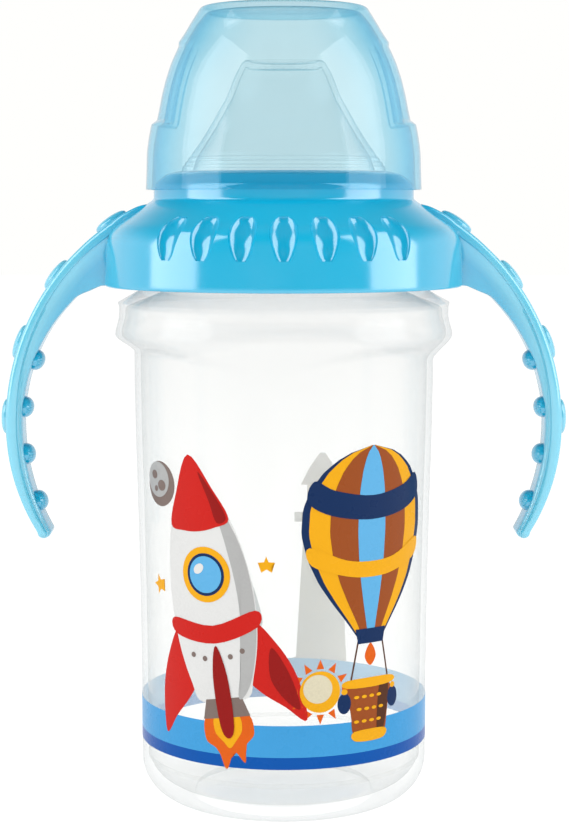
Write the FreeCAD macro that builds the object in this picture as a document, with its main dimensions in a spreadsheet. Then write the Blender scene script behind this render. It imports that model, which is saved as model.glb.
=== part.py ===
import FreeCAD, Part
import math
import os

import Sketcher

# A child's trainer cup. Millimetres, +Z up. The origin is the centre of the ring that the cup stands on,
# the front is -Y and the two handles lie along X.

SHEET = "Sizes"
SIZES = {
    # cup body: a thin clear shell with a bulged shoulder under a threaded neck
    "foot_inner_radius": 18.6,
    "foot_radius": 21.5,
    "foot_height": 1.6,
    "base_corner": 8.5,
    "base_radius": 30.0,
    "waist_radius": 31.1,
    "waist_height": 89.0,
    "bulge_valley_height": 94.2,
    "bulge_radius": 35.0,
    "bulge_height": 97.6,
    "bulge_top_radius": 34.2,
    "bulge_top_height": 101.3,
    "lobe_height": 90.2,
    "lobe_angle": 66.0,
    "lobe_count": 3,
    "lobe_turn": -98.0,
    "shoulder_radius": 34.45,
    "shoulder_height": 104.2,
    "neck_base_radius": 29.5,
    "neck_base_height": 107.0,
    "neck_radius": 27.2,
    "neck_bore_radius": 25.0,
    "rim_height": 120.5,
    "wall": 1.3,
    "floor_height": 3.4,
    # screw thread shared by the neck and the collar's sleeve
    "thread_pitch": 4.0,
    "thread_rise": 5.0,
    "thread_start": 111.7,
    "thread_lag": 2.0,
    "thread_depth": 1.5,
    "thread_foot": 2.4,
    "thread_crest": 1.0,
    "thread_gap": 0.5,
    # collar: outer bell, threaded sleeve inside it and a low boss that carries the cap
    "bell_foot": 107.5,
    "bell_radius": 37.15,
    "bell_side_radius": 36.85,
    "bell_side_height": 115.4,
    "bell_corner": 6.0,
    "roof_foot_radius": 34.2,
    "roof_foot_height": 120.4,
    "roof_top_radius": 27.6,
    "roof_top_height": 124.9,
    "bell_bore_radius": 34.9,
    "bell_bore_top": 32.8,
    "bell_bore_height": 116.4,
    "sleeve_wall": 1.6,
    "sleeve_foot": 108.4,
    "sleeve_roof": 118.4,
    "boss_radius": 26.9,
    "boss_edge": 1.8,
    "boss_height": 131.2,
    "boss_bore_radius": 25.0,
    "boss_roof": 1.7,
    "spout_hole_radius": 21.4,
    # scooped flutes round the bell
    "flute_count": 7,
    "flute_pitch": 12.0,
    "flute_height": 118.9,
    "flute_half_length": 9.0,
    "flute_half_width": 2.55,
    "flute_depth": 2.3,
    "flute_ring_radius": 35.6,
    "flute_tilt": 35.0,
    # handles: a wide rounded strap outside, a narrower rib inside
    "handle_root": 34.9,
    "ridge_start": 28.6,
    "ridge_start_height": 123.0,
    "ridge_corner": 33.5,
    "ridge_corner_height": 119.4,
    "handle_middle": 78.6,
    "handle_reach": 57.8,
    "handle_upper_radius": 51.0,
    "handle_lower_radius": 42.7,
    "handle_tip": 56.2,
    "strap_thickness": 2.3,
    "strap_width": 10.0,
    "strap_edge": 1.4,
    "rib_inset": 1.1,
    "rib_reach": 54.45,
    "rib_upper_radius": 36.5,
    "rib_lower_radius": 46.6,
    "rib_width": 7.6,
    "web_height": 105.4,
    "web_radius": 8.3,
    "web_foot": 36.9,
    "bump_count": 4,
    "bump_first_angle": 1.8,
    "bump_pitch_angle": 17.9,
    "bump_half_length": 3.7,
    "bump_half_width": 3.2,
    "bump_rise": 1.3,
    "knob_count": 4,
    "knob_top_height": 92.1,
    "knob_pitch": 9.9,
    "knob_half_length": 2.2,
    "knob_half_width": 3.4,
    "knob_rise": 2.0,
    # spout: soft one-piece moulding, clamped by its flange between the neck rim and the collar
    "flange_radius": 28.2,
    "flange_thickness": 1.6,
    "socket_radius": 19.0,
    "spout_root_radius": 21.0,
    "spout_root_height": 131.8,
    "spout_step_radius": 19.2,
    "spout_step_height": 134.8,
    "waist_half_width": 13.1,
    "waist_half_depth": 9.0,
    "waist_station": 144.0,
    "tip_half_width": 8.2,
    "tip_half_depth": 4.2,
    "spout_tip_height": 153.8,
    "spout_overlap": 0.8,
    "spout_wall": 1.1,
    "spout_roof": 1.2,
    "spout_slit": 5.0,
    # flow valve: soft plug pushed up into the spout's socket
    "valve_radius": 18.92,
    "valve_wall": 1.5,
    "valve_foot": 121.4,
    "valve_height": 5.6,
    "valve_floor": 1.4,
    "valve_dome_radius": 5.2,
    "valve_dome_rise": 3.2,
    "slit_length": 5.0,
    "slit_width": 0.4,
    # cap: a hood with one grip recess at each side
    "cap_foot": 127.3,
    "cap_foot_radius": 28.5,
    "cap_skirt_height": 136.0,
    "cap_skirt_radius": 28.1,
    "cap_side_height": 146.5,
    "cap_side_radius": 26.1,
    "cap_brow_height": 159.5,
    "cap_brow_radius": 20.2,
    "cap_top_radius": 17.0,
    "cap_crown_height": 164.6,
    "cap_height": 165.4,
    "cap_wall": 1.2,
    "cap_lower_bow": 30.0,
    "cap_upper_bow": 45.0,
    "grip_floor_radius": 25.9,
    "grip_floor_top_radius": 21.6,
    "grip_foot": 140.9,
    "grip_top": 156.5,
    "grip_angle": 56.0,
}


class Dim:
    """A size and the sheet expression that it comes from, kept together through plain arithmetic."""

    def __init__(self, value, text):
        self.value = value
        self.text = text

    def __add__(self, other):
        other = dim(other)
        return Dim(self.value + other.value, f"({self.text} + {other.text})")

    def __sub__(self, other):
        other = dim(other)
        return Dim(self.value - other.value, f"({self.text} - {other.text})")

    def __mul__(self, other):
        other = dim(other)
        return Dim(self.value * other.value, f"({self.text} * {other.text})")

    def __truediv__(self, other):
        other = dim(other)
        return Dim(self.value / other.value, f"({self.text} / {other.text})")

    def __neg__(self):
        return Dim(-self.value, f"(0 - {self.text})")


def dim(source):
    """A Dim from a Dim, from an alias of the sheet or from a plain number."""
    if isinstance(source, Dim):
        return source
    if isinstance(source, str):
        return Dim(SIZES[source], f"{SHEET}.{source}")
    return Dim(float(source), repr(float(source)))


def dim_root(source):
    return Dim(math.sqrt(source.value), f"sqrt({source.text})")


def dim_cos(degrees):
    return Dim(math.cos(math.radians(degrees.value)), f"cos({degrees.text} * 1 deg)")


def dim_sin(degrees):
    return Dim(math.sin(math.radians(degrees.value)), f"sin({degrees.text} * 1 deg)")


def circle_x(centre_x, centre_z, radius, z):
    """The outer x at which a circle in the XZ plane passes through the height z."""
    return centre_x + dim_root(radius * radius - (z - centre_z) * (z - centre_z))


doc = FreeCAD.newDocument("trainer_cup")
sheet = doc.addObject("Spreadsheet::Sheet", SHEET)
for row, (alias, number) in enumerate(SIZES.items(), start=1):
    sheet.set(f"A{row}", alias)
    sheet.set(f"B{row}", str(number))
    sheet.setAlias(f"B{row}", alias)
doc.recompute()


# ---------------------------------------------------------------- sketches and features

def bind(feature, **paths):
    for path, source in paths.items():
        feature.setExpression(path, dim(source).text)


def place(feature, x=0, y=0, z=0, axis=None, angle=0):
    """Turns a feature about an axis and puts its origin at a point made of Dims."""
    turn = FreeCAD.Rotation(axis or FreeCAD.Vector(0, 0, 1), dim(angle).value)
    spot = FreeCAD.Vector(dim(x).value, dim(y).value, dim(z).value)
    feature.Placement = FreeCAD.Placement(spot, turn)
    feature.setExpression("Placement.Base.x", dim(x).text)
    feature.setExpression("Placement.Base.y", dim(y).text)
    feature.setExpression("Placement.Base.z", dim(z).text)


def new_body(label):
    body = doc.addObject("PartDesign::Body", label)
    body.Label = label
    return body


def origin_feature(body, role):
    return next(item for item in body.Origin.OriginFeatures if item.Role == role)


def body_sketch(body, name, plane="XZ_Plane"):
    sketch = body.newObject("Sketcher::SketchObject", name)
    sketch.AttachmentSupport = [(origin_feature(body, plane), "")]
    sketch.MapMode = "FlatFace"
    return sketch


def free_sketch(name):
    """A sketch in the XZ plane that belongs to no body."""
    sketch = doc.addObject("Sketcher::SketchObject", name)
    sketch.Placement = FreeCAD.Placement(FreeCAD.Vector(), FreeCAD.Rotation(FreeCAD.Vector(1, 0, 0), 90))
    return sketch


def arc_between(start, end, radius, side):
    """The short arc between two points whose centre lies to the left (side 1) or the right (side -1).

    A sketch counts an arc's ends anticlockwise, so an arc that bends to the right is drawn from its end.
    """
    chord = end - start
    middle = (start + end) * 0.5
    normal = FreeCAD.Vector(-chord.y, chord.x, 0).normalize() * side
    depth = math.sqrt(radius ** 2 - (chord.Length / 2) ** 2)
    crown = middle + normal * (depth - radius)
    return Part.Arc(start, crown, end) if side > 0 else Part.Arc(end, crown, start)


def draw_outline(sketch, corners):
    """Closes a loop through corners (x, z, arc radius or None, arc side) and binds each to the sheet.

    The radius and side of a corner describe the edge that leaves it.
    """
    points = [FreeCAD.Vector(dim(x).value, dim(z).value, 0) for x, z, _, _ in corners]
    ends = []
    for number, (_, _, radius, side) in enumerate(corners):
        start = points[number]
        end = points[(number + 1) % len(points)]
        if radius is None:
            edge = Part.LineSegment(start, end)
        else:
            edge = arc_between(start, end, dim(radius).value, side)
        index = sketch.addGeometry(edge, False)
        ends.append((index, 2, 1) if side < 0 else (index, 1, 2))
    for number, (x, z, radius, _) in enumerate(corners):
        index, first, last = ends[number]
        following, next_first, _ = ends[(number + 1) % len(ends)]
        sketch.addConstraint(Sketcher.Constraint("Coincident", index, last, following, next_first))
        for kind, source in (("DistanceX", x), ("DistanceY", z)):
            drive(sketch, kind, (-1, 1, index, first), source)
        if radius is not None:
            drive(sketch, "Radius", (index,), radius)


def drive(sketch, kind, where, source):
    """Adds a dimension to a sketch and binds it. A point on an axis is fixed to it instead of at distance 0."""
    size = dim(source)
    if abs(size.value) < 1e-9:
        axis = -2 if kind == "DistanceX" else -1
        sketch.addConstraint(Sketcher.Constraint("PointOnObject", where[2], where[3], axis))
        return
    number = sketch.addConstraint(Sketcher.Constraint(kind, *where, size.value))
    sketch.setExpression(f"Constraints[{number}]", size.text)


def revolve(body, sketch, name="Revolution", angle=360.0):
    feature = body.newObject("PartDesign::Revolution", name)
    feature.Profile = sketch
    feature.ReferenceAxis = (sketch, ["V_Axis"])
    feature.Angle = angle
    return feature


def ellipsoid(name, along_z, along_x, along_y):
    feature = doc.addObject("Part::Ellipsoid", name)
    bind(feature, Radius1=along_z, Radius2=along_x, Radius3=along_y)
    return feature


def fuse(name, shapes):
    feature = doc.addObject("Part::MultiFuse", name)
    feature.Shapes = shapes
    feature.Refine = False
    return feature


def cut(name, base, tool):
    feature = doc.addObject("Part::Cut", name)
    feature.Base = base
    feature.Tool = tool
    feature.Refine = False
    return feature


def add_thread(body, name, root_radius, depth, start_height):
    """A right-hand helical ridge. Positive depth stands out of a neck, negative depth into a sleeve."""
    bite = dim(0.2) if depth.value > 0 else dim(-0.2)
    sketch = body_sketch(body, name + "_profile")
    foot = dim("thread_foot") / 2
    crest = dim("thread_crest") / 2
    corners = [
        (root_radius - bite, start_height - foot, None, 0),
        (root_radius + depth, start_height - crest, None, 0),
        (root_radius + depth, start_height + crest, None, 0),
        (root_radius - bite, start_height + foot, None, 0),
    ]
    draw_outline(sketch, corners)
    helix = body.newObject("PartDesign::AdditiveHelix", name)
    helix.Profile = sketch
    helix.ReferenceAxis = (sketch, ["V_Axis"])
    helix.Mode = 0
    bind(helix, Pitch="thread_pitch", Height="thread_rise")
    helix.LeftHanded = False
    return helix


# ---------------------------------------------------------------- cup body

def make_cup_body():
    body = new_body("cup_body")
    inner = dim("base_radius") - "wall"
    floor = dim("floor_height")
    corner = dim("base_corner")
    inner_corner = corner - "wall"
    corners = [
        (0, "foot_height", None, 0),
        ("foot_inner_radius", "foot_height", None, 0),
        (dim("foot_inner_radius") + 1.0, 0, None, 0),
        ("foot_radius", 0, corner, 1),
        ("base_radius", corner, None, 0),
        ("waist_radius", "waist_height", None, 0),
        (dim("waist_radius") + 0.1, "bulge_valley_height", None, 0),
        ("bulge_radius", "bulge_height", None, 0),
        ("bulge_top_radius", "bulge_top_height", None, 0),
        ("shoulder_radius", "shoulder_height", None, 0),
        ("neck_base_radius", "neck_base_height", None, 0),
        ("neck_radius", dim("neck_base_height") + 0.8, None, 0),
        ("neck_radius", "rim_height", None, 0),
        ("neck_bore_radius", "rim_height", None, 0),
        ("neck_bore_radius", dim("neck_base_height") - 1.6, None, 0),
        (dim("shoulder_radius") - 2.2, dim("shoulder_height") - 1.6, None, 0),
        (dim("bulge_top_radius") - 1.4, "bulge_top_height", None, 0),
        (dim("bulge_radius") - 1.6, "bulge_height", None, 0),
        (dim("waist_radius") - "wall", dim("bulge_valley_height") - 0.8, None, 0),
        (dim("waist_radius") - "wall", "waist_height", None, 0),
        (inner, floor + inner_corner, inner_corner, -1),
        (inner - inner_corner, floor, None, 0),
        (0, floor, None, 0),
    ]
    sketch = body_sketch(body, "cup_section")
    draw_outline(sketch, corners)
    revolve(body, sketch)
    add_thread(body, "neck_thread", dim("neck_radius"), dim("thread_depth"), dim("thread_start"))
    return body


def make_lobed_cup():
    """The bulge reaches lower in three broad lobes round the shoulder."""
    shell = make_cup_body()
    shell.Label = "cup_shell"
    lobes = []
    step = 360.0 / SIZES["lobe_count"]
    for number in range(SIZES["lobe_count"]):
        sketch = free_sketch(f"lobe_section_{number}")
        draw_outline(sketch, [
            (dim("waist_radius") - 0.6, "lobe_height", None, 0),
            (dim("waist_radius") + 1.5, dim("lobe_height") + 0.9, None, 0),
            ("bulge_radius", dim("bulge_height") - 0.9, None, 0),
            (dim("bulge_radius") - 1.2, "bulge_height", None, 0),
            (dim("waist_radius") - 0.6, "bulge_valley_height", None, 0),
        ])
        lobe = doc.addObject("Part::Revolution", f"lobe_{number}")
        lobe.Source = sketch
        lobe.Axis = FreeCAD.Vector(0, 0, 1)
        lobe.Base = FreeCAD.Vector(0, 0, 0)
        lobe.Solid = True
        bind(lobe, Angle="lobe_angle")
        turn = SIZES["lobe_turn"] - SIZES["lobe_angle"] / 2 + number * step
        lobe.Placement = FreeCAD.Placement(
            FreeCAD.Vector(), FreeCAD.Rotation(FreeCAD.Vector(0, 0, 1), turn))
        lobes.append(lobe)
    cup = fuse("cup_body_fused", [shell] + lobes)
    cup.Label = "cup_body"
    return cup


# ---------------------------------------------------------------- collar with its handles

def make_collar_shell():
    body = new_body("collar_shell")
    root = dim("neck_radius") + "thread_depth"
    bore = root + "thread_gap"
    sleeve = bore + "sleeve_wall"
    seat = dim("rim_height") + "flange_thickness"
    boss_shoulder = dim("boss_height") - "boss_edge"
    corners = [
        ("bell_radius", "bell_foot", None, 0),
        ("bell_side_radius", "bell_side_height", "bell_corner", 1),
        ("roof_foot_radius", "roof_foot_height", None, 0),
        ("roof_top_radius", "roof_top_height", None, 0),
        ("boss_radius", dim("roof_top_height") + 0.7, None, 0),
        ("boss_radius", boss_shoulder, "boss_edge", 1),
        (dim("boss_radius") - "boss_edge", "boss_height", None, 0),
        ("spout_hole_radius", "boss_height", None, 0),
        ("spout_hole_radius", dim("boss_height") - "boss_roof", None, 0),
        ("boss_bore_radius", dim("boss_height") - "boss_roof", None, 0),
        ("boss_bore_radius", seat, None, 0),
        (bore, seat, None, 0),
        (bore, "sleeve_foot", None, 0),
        (sleeve, "sleeve_foot", None, 0),
        (sleeve, "sleeve_roof", None, 0),
        ("bell_bore_top", "bell_bore_height", None, 0),
        ("bell_bore_radius", "bell_foot", None, 0),
    ]
    sketch = body_sketch(body, "collar_section")
    draw_outline(sketch, corners)
    revolve(body, sketch)
    lag = dim("thread_start") - "thread_lag"
    add_thread(body, "sleeve_thread", bore, -dim("thread_depth"), lag)
    return body


def handle_edge(reach, upper_radius, lower_radius, top):
    """One edge of a handle as three points: its top, its widest point and its tip."""
    middle = dim("handle_middle")
    tip = dim("handle_tip")
    head = top if top[0] else (circle_x(reach - upper_radius, middle, upper_radius, top[1]), top[1])
    return head, (reach, middle), (circle_x(reach - lower_radius, middle, lower_radius, tip), tip)


def handle_section(name, inset, inner_reach, inner_upper, inner_lower, top_x, inner_head, root):
    """The closed outline of a handle, from its outer edge moved in by inset to the given inner edge.

    Its outer edge starts at top_x and its inner edge ends at the height inner_head. The root's corners
    carry the outline on into the bell's wall.
    """
    upper = dim("handle_upper_radius") - inset
    lower = dim("handle_lower_radius") - inset
    reach = dim("handle_reach") - inset
    run = top_x - (reach - upper)
    top = dim("handle_middle") + dim_root(upper * upper - run * run)
    outer_top, outer_wide, outer_tip = handle_edge(reach, upper, lower, (top_x, top))
    inner_top, inner_wide, inner_tip = handle_edge(inner_reach, inner_upper, inner_lower, (None, inner_head))
    tip_bow = (outer_tip[0] - inner_tip[0]) / 2 + 0.02
    sketch = free_sketch(name)
    draw_outline(sketch, [
        (*outer_top, upper, -1),
        (*outer_wide, lower, -1),
        (*outer_tip, tip_bow, -1),
        (*inner_tip, inner_lower, 1),
        (*inner_wide, inner_upper, 1),
        (*inner_top, *root[0]),
    ] + root[1:])
    return sketch


def extrude_both_ways(name, sketch, width):
    feature = doc.addObject("Part::Extrusion", name)
    feature.Base = sketch
    feature.DirMode = "Custom"
    feature.Dir = FreeCAD.Vector(0, 1, 0)
    feature.Symmetric = True
    feature.Solid = True
    bind(feature, LengthFwd=width)
    return feature


def round_outer_edges(name, base, radius):
    """Rounds the front and back edges of a strap's outer face."""
    doc.recompute()
    outer_radii = (SIZES["handle_upper_radius"], SIZES["handle_lower_radius"])
    picked = []
    for number, edge in enumerate(base.Shape.Edges, start=1):
        if edge.Curve.TypeId != "Part::GeomCircle":
            continue
        if any(abs(edge.Curve.Radius - outer) < 1e-6 for outer in outer_radii):
            picked.append((number, radius, radius))
    feature = doc.addObject("Part::Fillet", name)
    feature.Base = base
    feature.Edges = picked
    return feature


def make_handle():
    """The handle on the +X side. Its strap runs on over the bell's roof as a low ridge."""
    strap = dim("strap_thickness")
    root = dim("handle_root")
    foot = dim("bell_foot") + 0.3
    inner_radius = dim("handle_upper_radius") - strap
    run = root - (dim("handle_reach") - "handle_upper_radius")
    strap_foot = dim("handle_middle") + dim_root(inner_radius * inner_radius - run * run)
    strap_root = [
        (None, 0),
        ("ridge_corner", "ridge_corner_height", None, 0),
        ("ridge_start", "ridge_start_height", None, 0),
    ]
    strap_sketch = handle_section(
        "strap_section", dim(0), dim("handle_reach") - strap, inner_radius,
        dim("handle_lower_radius") - strap, dim("ridge_start"), strap_foot, strap_root)
    blank = extrude_both_ways("strap_blank", strap_sketch, "strap_width")
    strap_piece = round_outer_edges("strap", blank, SIZES["strap_edge"])
    rib_root = root + 0.2
    web_root = [
        (dim("web_radius"), 1),
        ("web_foot", foot, None, 0),
        (rib_root, foot, None, 0),
    ]
    rib_sketch = handle_section(
        "rib_section", dim("rib_inset"), dim("rib_reach"), dim("rib_upper_radius"),
        dim("rib_lower_radius"), rib_root, dim("web_height"), web_root)
    rib = extrude_both_ways("rib", rib_sketch, "rib_width")
    return fuse("right_handle", [strap_piece, rib] + make_bumps() + make_knobs())


def make_bumps():
    """Low lens-shaped bumps along the outside of a handle's upper half."""
    bumps = []
    radius = dim("handle_upper_radius")
    centre_x = dim("handle_reach") - radius
    for number in range(SIZES["bump_count"]):
        angle = dim("bump_first_angle") + dim("bump_pitch_angle") * number
        bump = ellipsoid(f"bump_{number}", "bump_half_length", "bump_rise", "bump_half_width")
        x = centre_x + radius * dim_cos(angle)
        z = dim("handle_middle") + radius * dim_sin(angle)
        place(bump, x, 0, z, FreeCAD.Vector(0, 1, 0), -angle)
        bumps.append(bump)
    return bumps


def make_knobs():
    """Round grip knobs along the inside of a handle, evenly spaced in height."""
    knobs = []
    middle = dim("handle_middle")
    for number in range(SIZES["knob_count"]):
        z = dim("knob_top_height") - dim("knob_pitch") * number
        above = z.value > middle.value
        radius = dim("rib_upper_radius" if above else "rib_lower_radius")
        centre_x = dim("rib_reach") - radius
        x = circle_x(centre_x, middle, radius, z)
        lean = math.degrees(math.atan2(z.value - middle.value, x.value - centre_x.value))
        knob = ellipsoid(f"knob_{number}", "knob_half_length", "knob_rise", "knob_half_width")
        place(knob, x, 0, z, FreeCAD.Vector(0, 1, 0), -lean)
        knobs.append(knob)
    return knobs


def make_flutes():
    """Scooped flutes in the bell, one fan of them at the front and one at the back."""
    flutes = []
    middle = (SIZES["flute_count"] - 1) / 2
    for facing in (-90.0, 90.0):
        for number in range(SIZES["flute_count"]):
            heading = dim(facing) + dim("flute_pitch") * (number - middle)
            flute = ellipsoid(
                f"flute_{len(flutes)}", "flute_half_length", "flute_depth", "flute_half_width")
            ring = dim("flute_ring_radius")
            place(flute, ring * dim_cos(heading), ring * dim_sin(heading), "flute_height")
            lean = FreeCAD.Rotation(FreeCAD.Vector(0, 1, 0), -SIZES["flute_tilt"])
            turn = FreeCAD.Rotation(FreeCAD.Vector(0, 0, 1), heading.value)
            flute.Placement = FreeCAD.Placement(flute.Placement.Base, turn * lean)
            flutes.append(flute)
    return flutes


def make_collar():
    right = make_handle()
    left = doc.addObject("Part::Mirroring", "left_handle")
    left.Source = right
    left.Base = FreeCAD.Vector(0, 0, 0)
    left.Normal = FreeCAD.Vector(1, 0, 0)
    bell = cut("fluted_bell", make_collar_shell(), fuse("flutes", make_flutes()))
    return fuse("collar", [bell, right, left])


# ---------------------------------------------------------------- spout

def ring_at(name, half_width, half_depth, z):
    """An ellipse or a circle that a loft passes through."""
    ring = doc.addObject("Part::Ellipse", name)
    bind(ring, MajorRadius=half_width, MinorRadius=half_depth)
    place(ring, 0, 0, z)
    return ring


def loft(name, rings):
    feature = doc.addObject("Part::Loft", name)
    feature.Sections = rings
    feature.Solid = True
    feature.Ruled = False
    return feature


def drum(name, radius, z, length):
    feature = doc.addObject("Part::Cylinder", name)
    bind(feature, Radius=radius, Height=length)
    place(feature, 0, 0, z)
    return feature


def make_spout():
    """A flange and socket below the collar's roof, and a nozzle that flares from an oval tip to a round foot.

    The nozzle's foot starts inside the round step below it, so that the two surfaces cross cleanly.
    """
    rim = dim("rim_height")
    wall = dim("spout_wall")
    root_z = dim("spout_root_height")
    step_z = dim("spout_step_height")
    step = dim("spout_step_radius")
    overlap = dim("spout_overlap")
    foot = step - overlap / 2
    stations = [
        ("foot", foot, foot - 0.01, step_z - overlap, dim(0)),
        ("waist", dim("waist_half_width"), dim("waist_half_depth"), dim("waist_station"), dim(0)),
        ("tip", dim("tip_half_width"), dim("tip_half_depth"), dim("spout_tip_height"), dim("spout_roof")),
    ]
    outside = []
    inside = []
    for name, width, depth, z, roof in stations:
        outside.append(ring_at(f"spout_{name}_ring", width, depth, z))
        inside.append(ring_at(f"nozzle_{name}_ring", width - wall, depth - wall, z - roof))
    throat_foot = root_z - wall - 0.5
    solids = [
        drum("spout_flange", "flange_radius", rim, "flange_thickness"),
        drum("spout_tube", "spout_root_radius", rim, root_z - rim),
        drum("spout_step", step, root_z - 0.5, step_z - root_z + 0.5),
        loft("spout_nozzle", outside),
    ]
    slit = doc.addObject("Part::Box", "drinking_slit")
    bind(slit, Length="spout_slit", Width="slit_width", Height=dim("spout_roof") * 3)
    place(slit, -dim("spout_slit") / 2, -dim("slit_width") / 2, dim("spout_tip_height") - dim("spout_roof") * 2)
    hollows = [
        drum("spout_socket", "socket_radius", rim - 1, root_z - rim + 1 - wall),
        drum("spout_throat", step - wall, throat_foot, step_z - overlap + 0.3 - throat_foot),
        loft("nozzle_hollow", inside),
        slit,
    ]
    return cut("spout", fuse("spout_outside", solids), fuse("spout_hollow", hollows))


# ---------------------------------------------------------------- flow valve

def make_flow_valve():
    body = new_body("flow_valve")
    radius = dim("valve_radius")
    foot = dim("valve_foot")
    floor = foot + "valve_floor"
    crown = floor + "valve_dome_rise"
    dome = dim("valve_dome_radius")
    skin = dim("valve_floor")
    corners = [
        (0, crown - skin, None, 0),
        (dome - skin, crown - skin, None, 0),
        (dome - skin, foot, None, 0),
        (radius, foot, None, 0),
        (radius, foot + "valve_height", None, 0),
        (radius - "valve_wall", foot + "valve_height", None, 0),
        (radius - "valve_wall", floor, None, 0),
        (dome, floor, None, 0),
        (dome, crown, None, 0),
        (0, crown, None, 0),
    ]
    sketch = body_sketch(body, "valve_section")
    draw_outline(sketch, corners)
    revolve(body, sketch)
    slit = body_sketch(body, "slit_outline", "XY_Plane")
    half = dim("slit_length") / 2
    edge = dim("slit_width") / 2
    draw_outline(slit, [
        (-half, -edge, None, 0),
        (half, -edge, None, 0),
        (half, edge, None, 0),
        (-half, edge, None, 0),
    ])
    pocket = body.newObject("PartDesign::Pocket", "Slit")
    pocket.Profile = slit
    pocket.Type = 1
    pocket.Reversed = True
    return body


# ---------------------------------------------------------------- cap

def cap_corners(inset, foot):
    """The hood's outline, moved inwards by inset, from the axis at the top down to its foot."""
    return [
        (0, foot, None, 0),
        (dim("cap_foot_radius") - inset, foot, None, 0),
        (dim("cap_skirt_radius") - inset, "cap_skirt_height", dim("cap_lower_bow") - inset, 1),
        (dim("cap_side_radius") - inset, "cap_side_height", dim("cap_upper_bow") - inset, 1),
        (dim("cap_brow_radius") - inset, "cap_brow_height", None, 0),
        (dim("cap_top_radius") - inset, dim("cap_crown_height") - inset, None, 0),
        (0, dim("cap_height") - inset, None, 0),
    ]


def hood(name, inset, foot):
    """A solid hood with the two grip recesses pressed into it."""
    body = new_body(name)
    sketch = body_sketch(body, name + "_section")
    draw_outline(sketch, cap_corners(inset, foot))
    revolve(body, sketch)
    recess = body_sketch(body, name + "_recess")
    outside = dim("cap_foot_radius") + 5.0
    draw_outline(recess, [
        (dim("grip_floor_radius") - inset, dim("grip_foot") - inset, None, 0),
        (outside, dim("grip_foot") - inset, None, 0),
        (outside, "grip_top", None, 0),
        (dim("grip_floor_top_radius") - inset, "grip_top", None, 0),
    ])
    groove = body.newObject("PartDesign::Groove", name + "_grip")
    groove.Profile = recess
    groove.ReferenceAxis = (recess, ["V_Axis"])
    groove.Midplane = True
    bind(groove, Angle="grip_angle")
    pattern = body.newObject("PartDesign::PolarPattern", name + "_grips")
    pattern.Originals = [groove]
    pattern.Axis = (recess, ["V_Axis"])
    pattern.Angle = 360
    pattern.Occurrences = 2
    body.Tip = pattern
    return body


def make_cap():
    outside = hood("cap_outside", dim(0), dim("cap_foot"))
    inside = hood("cap_inside", dim("cap_wall"), dim("cap_foot") - 1.0)
    return cut("cap", outside, inside)


# ---------------------------------------------------------------- check and write

def check_and_write(sub_parts):
    doc.recompute()
    for item in doc.Objects:
        if "Invalid" in item.State or "Error" in item.State:
            raise RuntimeError(f"{item.Name} failed: {item.State}")
    os.makedirs("parts", exist_ok=True)
    for item in sub_parts:
        shape = item.Shape
        if shape.isNull() or not shape.isValid():
            raise RuntimeError(f"{item.Label} has no valid shape")
        print(f"{item.Label}: {len(shape.Solids)} solid, {shape.Volume / 1000:.2f} cm3, {shape.BoundBox}")
        shape.exportStep(f"parts/{item.Label}.step")


check_and_write([make_lobed_cup(), make_collar(), make_spout(), make_flow_valve(), make_cap()])
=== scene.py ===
"""The looks of the sippy cup: clear cup, blue collar with two handles, soft spout, valve and tinted cap.

Sizes are in millimetres, with the cup's base at height 0 and its front towards -Y.
"""

import math

import bmesh
import bpy
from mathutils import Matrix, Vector


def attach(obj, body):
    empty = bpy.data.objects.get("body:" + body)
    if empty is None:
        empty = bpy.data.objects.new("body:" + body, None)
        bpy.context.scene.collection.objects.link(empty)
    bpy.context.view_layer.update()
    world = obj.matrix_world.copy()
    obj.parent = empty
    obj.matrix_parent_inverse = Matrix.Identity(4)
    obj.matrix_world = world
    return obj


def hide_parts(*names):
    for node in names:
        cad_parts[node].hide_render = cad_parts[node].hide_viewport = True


MM = 0.001
TURN = 2.0 * math.pi
FRONT = -0.5 * math.pi

# The handles follow arcs about points at this height. Each arc is (centre's distance from the axis, radius).
HANDLE_MIDDLE = 78.6
OUTER_ARC = (6.8, 51.0)
INNER_ARC = (17.95, 36.5)
LOW_OUTER_ARC = (15.1, 42.7)
LOW_INNER_ARC = (7.85, 46.6)

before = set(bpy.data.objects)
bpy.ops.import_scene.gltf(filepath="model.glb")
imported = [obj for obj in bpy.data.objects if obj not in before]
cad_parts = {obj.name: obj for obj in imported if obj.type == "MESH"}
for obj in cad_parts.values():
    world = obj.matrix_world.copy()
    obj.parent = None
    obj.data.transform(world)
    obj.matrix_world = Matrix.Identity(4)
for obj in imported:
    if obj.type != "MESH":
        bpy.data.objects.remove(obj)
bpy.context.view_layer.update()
scene = bpy.context.scene


# ---------------------------------------------------------------- outlines

def rounded(corners, steps=6, closed=True):
    """The line through corners (x, z, radius), with an arc of that radius at each corner."""
    line = []
    count = len(corners)
    for number, (x, z, radius) in enumerate(corners):
        here = Vector((x, z))
        at_end = not closed and number in (0, count - 1)
        if radius == 0 or at_end:
            line.append((x, z))
            continue
        back = (Vector(corners[number - 1][:2]) - here).normalized()
        ahead = (Vector(corners[(number + 1) % count][:2]) - here).normalized()
        half = back.angle(ahead) / 2
        centre = here + (back + ahead).normalized() * (radius / math.sin(half))
        start = here + back * (radius / math.tan(half)) - centre
        sweep = start.angle_signed(here + ahead * (radius / math.tan(half)) - centre)
        for step in range(steps + 1):
            angle = -sweep * step / steps
            spun = Vector((
                start.x * math.cos(angle) - start.y * math.sin(angle),
                start.x * math.sin(angle) + start.y * math.cos(angle),
            ))
            line.append(tuple(centre + spun))
    return line


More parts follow.
